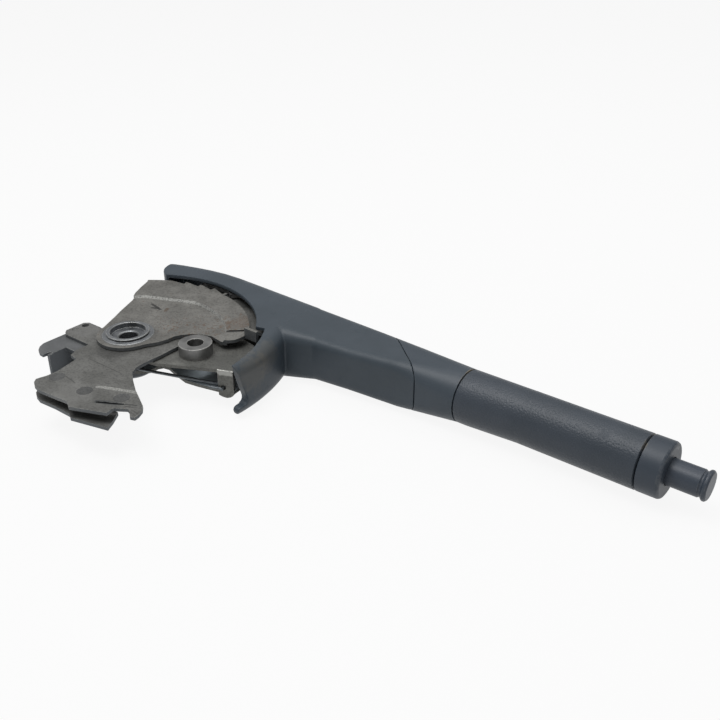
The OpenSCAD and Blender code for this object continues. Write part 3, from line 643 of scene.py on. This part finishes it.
# Handle core: the block between the cheeks, its two rivets and the tube that the mouldings slide
# onto. Plain steel, unpainted inside the handle.
core_steel = pressed_steel("core_steel", (0.13, 0.13, 0.125), (0.21, 0.21, 0.2), rust=0.08)
for core_node in ("tube_adapter", "adapter_rivets", "lever_tube"):
    wear_finish(core_node, core_steel)


# Housing: the moulded cover over the ratchet, with a horn round the rim, an apron in front
# and the neck of the handle. Glass filled nylon in dark slate blue, spark-etched satin surface.
def moulded(name, dark, light, tooth_size, tooth_height, rough, marks=(), grain=None):
    """Satin moulded plastic: faint clouding, pale rubbed edges, scuffs and dust in the tooth.

    The tooth is spark-etched noise, or the heights of the grain group where one is given.
    """
    material, tree, shader, place = start_material(name)
    cloud = use(tree, mottle, Place=place, Size=0.03)
    colour = tint(tree, cloud["Cloud"], dark, light)
    if grain:
        etched = use(tree, grain, Place=place, Size=tooth_size)["Height"]
    else:
        etched = use(tree, mottle, Place=place, Size=tooth_size * teeth_per_cloud)["Tooth"]
    dust = use(tree, specks, Place=place, Size=0.0007, Share=0.03)["Mask"]
    colour = tint(tree, reckon(tree, "MULTIPLY", dust, 0.3), colour, (0.17, 0.17, 0.17))
    colour = lay_marks(tree, place, colour, marks)
    worn = reckon(tree, "MULTIPLY", face_mark(tree, "edge"), ramp(tree, cloud["Tooth"], 0.42, 0.66))
    colour = tint(tree, reckon(tree, "MULTIPLY", worn, 0.3), colour, (0.16, 0.165, 0.17))
    tree.links.new(colour, shader.inputs["Base Color"])
    shader.inputs["Specular IOR Level"].default_value = 0.35
    scuffed = use(tree, specks, Place=place, Size=0.009, Share=0.2)["Mask"]
    tree.links.new(level(tree, scuffed, rough, rough + 0.09), shader.inputs["Roughness"])
    bump = add(tree, "Bump", {"Height": etched, "Strength": 0.8, "Distance": tooth_height})
    tree.links.new(bump.outputs[0], shader.inputs["Normal"])
    return material


# a ring of dirt on the upper side of the handle, broken up where it has been wiped away
handle_y = 83.1
rise_y, rise_z = 0.5, 0.87
dirt_ring, given, out = start_group(
    "dirt_ring", {"Place": (0, 0, 0), "At": 0.1, "Width": 0.001, "Ragged": 0.01}, ["Mask"])
split = add(dirt_ring, "SeparateXYZ", {0: given["Place"]})
upward = reckon(dirt_ring, "ADD", reckon(dirt_ring, "MULTIPLY", split.outputs[1], rise_y),
                reckon(dirt_ring, "MULTIPLY", split.outputs[2], rise_z))
axis_rise = rise_y * handle_y * MM
dirt_from, dirt_full = 0.004, 0.011
on_top = ramp(dirt_ring, upward, axis_rise + dirt_from, axis_rise + dirt_full)
apart = reckon(dirt_ring, "ABSOLUTE", reckon(dirt_ring, "SUBTRACT", split.outputs[0], given["At"]))
torn = add(dirt_ring, "TexNoise", {"Vector": given["Place"], "Detail": 4,
                                   "Scale": reckon(dirt_ring, "DIVIDE", 1.0, given["Ragged"])})
reach = reckon(dirt_ring, "DIVIDE", apart, given["Width"])
dirt_ring.links.new(
    reckon(dirt_ring, "MULTIPLY", reckon(dirt_ring, "SUBTRACT", 1.0, ramp(dirt_ring, reach, 0.5, 1.0)),
           reckon(dirt_ring, "MULTIPLY", on_top, ramp(dirt_ring, torn.outputs["Fac"], 0.35, 0.6))),
    out["Mask"])

DUST = (0.2, 0.17, 0.12)
SCRATCH = (0.32, 0.33, 0.34)
shell = take_copy("lever_shell")
# the two upper corners of the horn are filled from inside, where the wall runs out to nothing:
# each cut is a point and the direction in which a copy of the housing is cleared away
horn_cuts = (((-27, 0, 0), (1, 0, 0)), ((0, 83, 0), (0, -1, 0)), ((0, 0, 12), (0, 0, -1)))
for side in (1, -1):
    take_copy("lever_shell")
    bpy.ops.object.mode_set(mode="EDIT")
    for (x, y, z), (nx, ny, nz) in horn_cuts:
        bpy.ops.mesh.select_all(action="SELECT")
        bpy.ops.mesh.bisect(plane_co=(x * MM, y * MM, side * z * MM), plane_no=(nx, ny, side * nz),
                            clear_outer=True)
    bpy.ops.mesh.select_all(action="SELECT")
    bpy.ops.mesh.convex_hull()
    bpy.ops.object.mode_set(mode="OBJECT")
    shell.select_set(True)
    bpy.context.view_layer.objects.active = shell
    bpy.ops.object.join()
# one skin over housing and fillings, smoothed and thinned out
apply_modifier(shell, "REMESH", mode="VOXEL", voxel_size=0.5 * MM)
apply_modifier(shell, "SMOOTH", factor=0.5, iterations=6)
apply_modifier(shell, "DECIMATE", ratio=0.3)
bpy.ops.object.shade_smooth()
fit(shell, "lever", "housing_plastic", moulded(
    "housing_plastic", (0.038, 0.05, 0.062), (0.047, 0.06, 0.074),
    tooth_size=0.0006, tooth_height=0.00003, rough=0.46, marks=[
        (stain, 0.2, DUST, dict(Centre=(88, 18, 8), Radius=16, Ragged=18)),
        (stain, 0.15, DUST, dict(Centre=(85, 33, 12), Radius=14, Ragged=16)),
        (streak, 0.4, SCRATCH, dict(Start=(93.2, 72.8, 17), End=(102.5, 73.1, 16.5),
                                    Width=0.35, Ragged=0.5)),
        (stain, 0.8, SCRATCH, dict(Centre=(104, 64, 16), Radius=0.7, Ragged=0.3))]),
    "lever_shell")


# Neck sleeve: the moulding that carries the slanted seam and runs down to the grip.
# The same slate plastic as the housing, pushed onto the tube.
sleeve = take_copy("neck_sleeve")
break_edges(sleeve, width=0.25)
fit(sleeve, "lever", "housing_plastic", moulded(
    "sleeve_plastic", (0.038, 0.05, 0.063), (0.047, 0.06, 0.075),
    tooth_size=0.0006, tooth_height=0.00003, rough=0.45, marks=[
        (dirt_ring, 0.7, DUST, dict(At=187, Width=0.7, Ragged=9))]),
    "neck_sleeve")


# Grip: the hand grip sleeve with a pebbled leather grain and a slight flare at its start.
# Soft PVC moulded over the tube, shiny where hands have polished the grain.

# round pebbles with narrow valleys between them
pebble, given, out = start_group("pebble", {"Place": (0, 0, 0), "Size": 0.001}, ["Height"])
cells = add(pebble, "TexVoronoi", {"Vector": given["Place"], "Scale": reckon(
    pebble, "DIVIDE", 1.0, given["Size"])}, feature="SMOOTH_F1")
pebble.links.new(reckon(pebble, "SUBTRACT", 1.0, cells.outputs["Distance"]), out["Height"])

grip = take_copy("grip")
grip_start, grip_end = 187.3, 290.3
bore_limit = 13


def on_rim(p, x):
    """On the outer edge of the handle at x, clear of the bore."""
    return abs(p.x - x) < 0.05 and math.hypot(p.y - handle_y, p.z) > bore_limit


pick_edges(grip, lambda a, b: on_rim(a, grip_end) and on_rim(b, grip_end))
round_picked(grip, width=0.9, steps=3, mark="edge", strength=0.3)
break_edges(grip, width=0.2)
fit(grip, "lever", "grip_plastic", moulded(
    "grip_plastic", (0.034, 0.043, 0.055), (0.042, 0.052, 0.066),
    tooth_size=0.0009, tooth_height=0.0002, rough=0.42, marks=[
        (dirt_ring, 0.75, DUST, dict(At=grip_start, Width=0.8, Ragged=9)),
        (dirt_ring, 0.9, DUST, dict(At=grip_end, Width=1.1, Ragged=9))], grain=pebble),
    "grip")


# End collar: the ring that closes the grip and guides the button.
# Moulded in the housing plastic with rounded outer edges.
collar = take_copy("end_collar")
collar_start, collar_front = 290.6, 300.5
front_limit = 12.5


def on_front_rim(p):
    return p.x > collar_front and math.hypot(p.y - handle_y, p.z) > front_limit


pick_edges(collar, lambda a, b: on_rim(a, collar_start) and on_rim(b, collar_start))
round_picked(collar, width=0.9, steps=3, mark="edge", strength=0.3)
pick_edges(collar, lambda a, b: on_front_rim(a) and on_front_rim(b) and abs(a.x - b.x) < 0.05)
round_picked(collar, width=0.8, steps=4, mark="edge", strength=0.6)
break_edges(collar, width=0.3)
fit(collar, "lever", "housing_plastic", moulded(
    "collar_plastic", (0.033, 0.043, 0.057), (0.041, 0.052, 0.068),
    tooth_size=0.0006, tooth_height=0.00003, rough=0.44, marks=[
        (dirt_ring, 0.9, DUST, dict(At=collar_start, Width=1.1, Ragged=9)),
        # painted shade: the end face of the collar is darkened
        (stain, 0.55, (0.014, 0.018, 0.024), dict(Centre=(320, handle_y, 0), Radius=22.4, Ragged=2)),
        (stain, 0.6, SCRATCH, dict(Centre=(302.5, 89, 10.6), Radius=1.3, Ragged=0.8)),
        (stain, 0.6, SCRATCH, dict(Centre=(302.8, 86.5, 11.8), Radius=0.9, Ragged=0.8))]),
    "end_collar")


# Pawl train: the pawl with its two pins, and the push rod with its guide, spring and seat.
# Hardened steel, a nylon guide and plain spring wire, all inside the handle.
pawl_pin_axis = (-14.38, 81.54, 0)
hard_steel = turned_steel("hard_steel", (0.15, 0.15, 0.15), (0.24, 0.24, 0.24), axis=pawl_pin_axis)
wear_finish("pawl_pin", hard_steel)
wear_finish("rod_guide", washer_nylon)
coil = take_copy("button_spring")
bpy.ops.object.shade_smooth_by_angle(angle=math.radians(40))
fit(coil, "lever", "spring_steel", drawn_wire("coil_wire", (0.12, 0.12, 0.12), (0.22, 0.22, 0.22)),
    "button_spring")
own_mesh(coil)
for train_node in ("pawl", "pawl_drive_pin", "push_rod", "spring_seat"):
    wear_finish(train_node, hard_steel)


# Push button: the thumb button on the end of the push rod, with a thin flange.
# Moulded in black-blue plastic, polished by use.
button = take_copy("push_button")
break_edges(button, width=0.25, sharp=25)
fit(button, "button", "button_plastic", moulded(
    "button_plastic", (0.038, 0.048, 0.064), (0.046, 0.057, 0.075),
    tooth_size=0.0005, tooth_height=0.00002, rough=0.4),
    "push_button")


# Studio: a pale floor under the lever lying on its side, a white surround and two soft lamps.
# The camera stands where the photograph was taken from.
bpy.ops.object.select_all(action="DESELECT")
floor_gap = 0.2 * MM
bpy.ops.mesh.primitive_plane_add(size=6, location=(0.1, 0.05, cad_box[0][2] - floor_gap))
floor = bpy.context.object
floor.name = "studio_floor"
paper, tree, shader, place = start_material("studio_paper")
shader.inputs["Base Color"].default_value = (0.6, 0.6, 0.6, 1)
shader.inputs["Roughness"].default_value = 0.9
rays = add(tree, "LightPath").outputs
in_view = reckon(tree, "MAXIMUM", rays["Is Camera Ray"],
                 reckon(tree, "MAXIMUM", rays["Is Glossy Ray"], rays["Is Transmission Ray"]))
glow = add(tree, "Emission", {"Color": (1, 1, 1, 1), "Strength": 1.0})
glow_share = 0.9
cover = add(tree, "MixShader", {0: reckon(tree, "MULTIPLY", in_view, glow_share),
                                1: shader.outputs[0], 2: glow.outputs[0]})
tree.links.new(cover.outputs[0], tree.nodes["Material Output"].inputs["Surface"])
floor.data.materials.append(paper)

world = bpy.data.worlds.new("studio_world")
bpy.context.scene.world = world
world.use_nodes = True
tree = world.node_tree
tree.nodes.clear()
rays = add(tree, "LightPath").outputs
in_view = reckon(tree, "MAXIMUM", rays["Is Camera Ray"], rays["Is Transmission Ray"])
surround = add(tree, "Background", {"Color": (1, 1, 1, 1),
                                    "Strength": level(tree, in_view, 0.45, 1.0)})
add(tree, "OutputWorld", {"Surface": surround.outputs[0]})


def soft_lamp(name, place, aim, size, power):
    bpy.ops.object.light_add(type="AREA", location=place)
    lamp = bpy.context.object
    lamp.name = name
    lamp.data.size = size
    lamp.data.energy = power
    lamp.rotation_euler = (Vector(aim) - Vector(place)).to_track_quat("-Z", "Y").to_euler()


lever_middle = (0.12, 0.05, 0)
soft_lamp("key_softbox", (-0.1, -0.25, 1.1), aim=lever_middle, size=0.6, power=7)
soft_lamp("back_fill", (0.1, 0.35, 1.2), aim=lever_middle, size=1.2, power=6)

turn, tilt = math.radians(38.388), math.radians(29.009)
back = Vector((math.sin(turn) * math.cos(tilt), -math.cos(turn) * math.cos(tilt), math.sin(tilt)))
camera_place = (0.41107, -0.29623, 0.26397)
bpy.ops.object.camera_add(location=camera_place)
camera = bpy.context.object
camera.rotation_euler = (-back).to_track_quat("-Z", "Y").to_euler()
camera.data.lens = 46
camera.data.sensor_width = 36
bpy.context.scene.camera = camera
bpy.context.scene.view_settings.view_transform = "Standard"
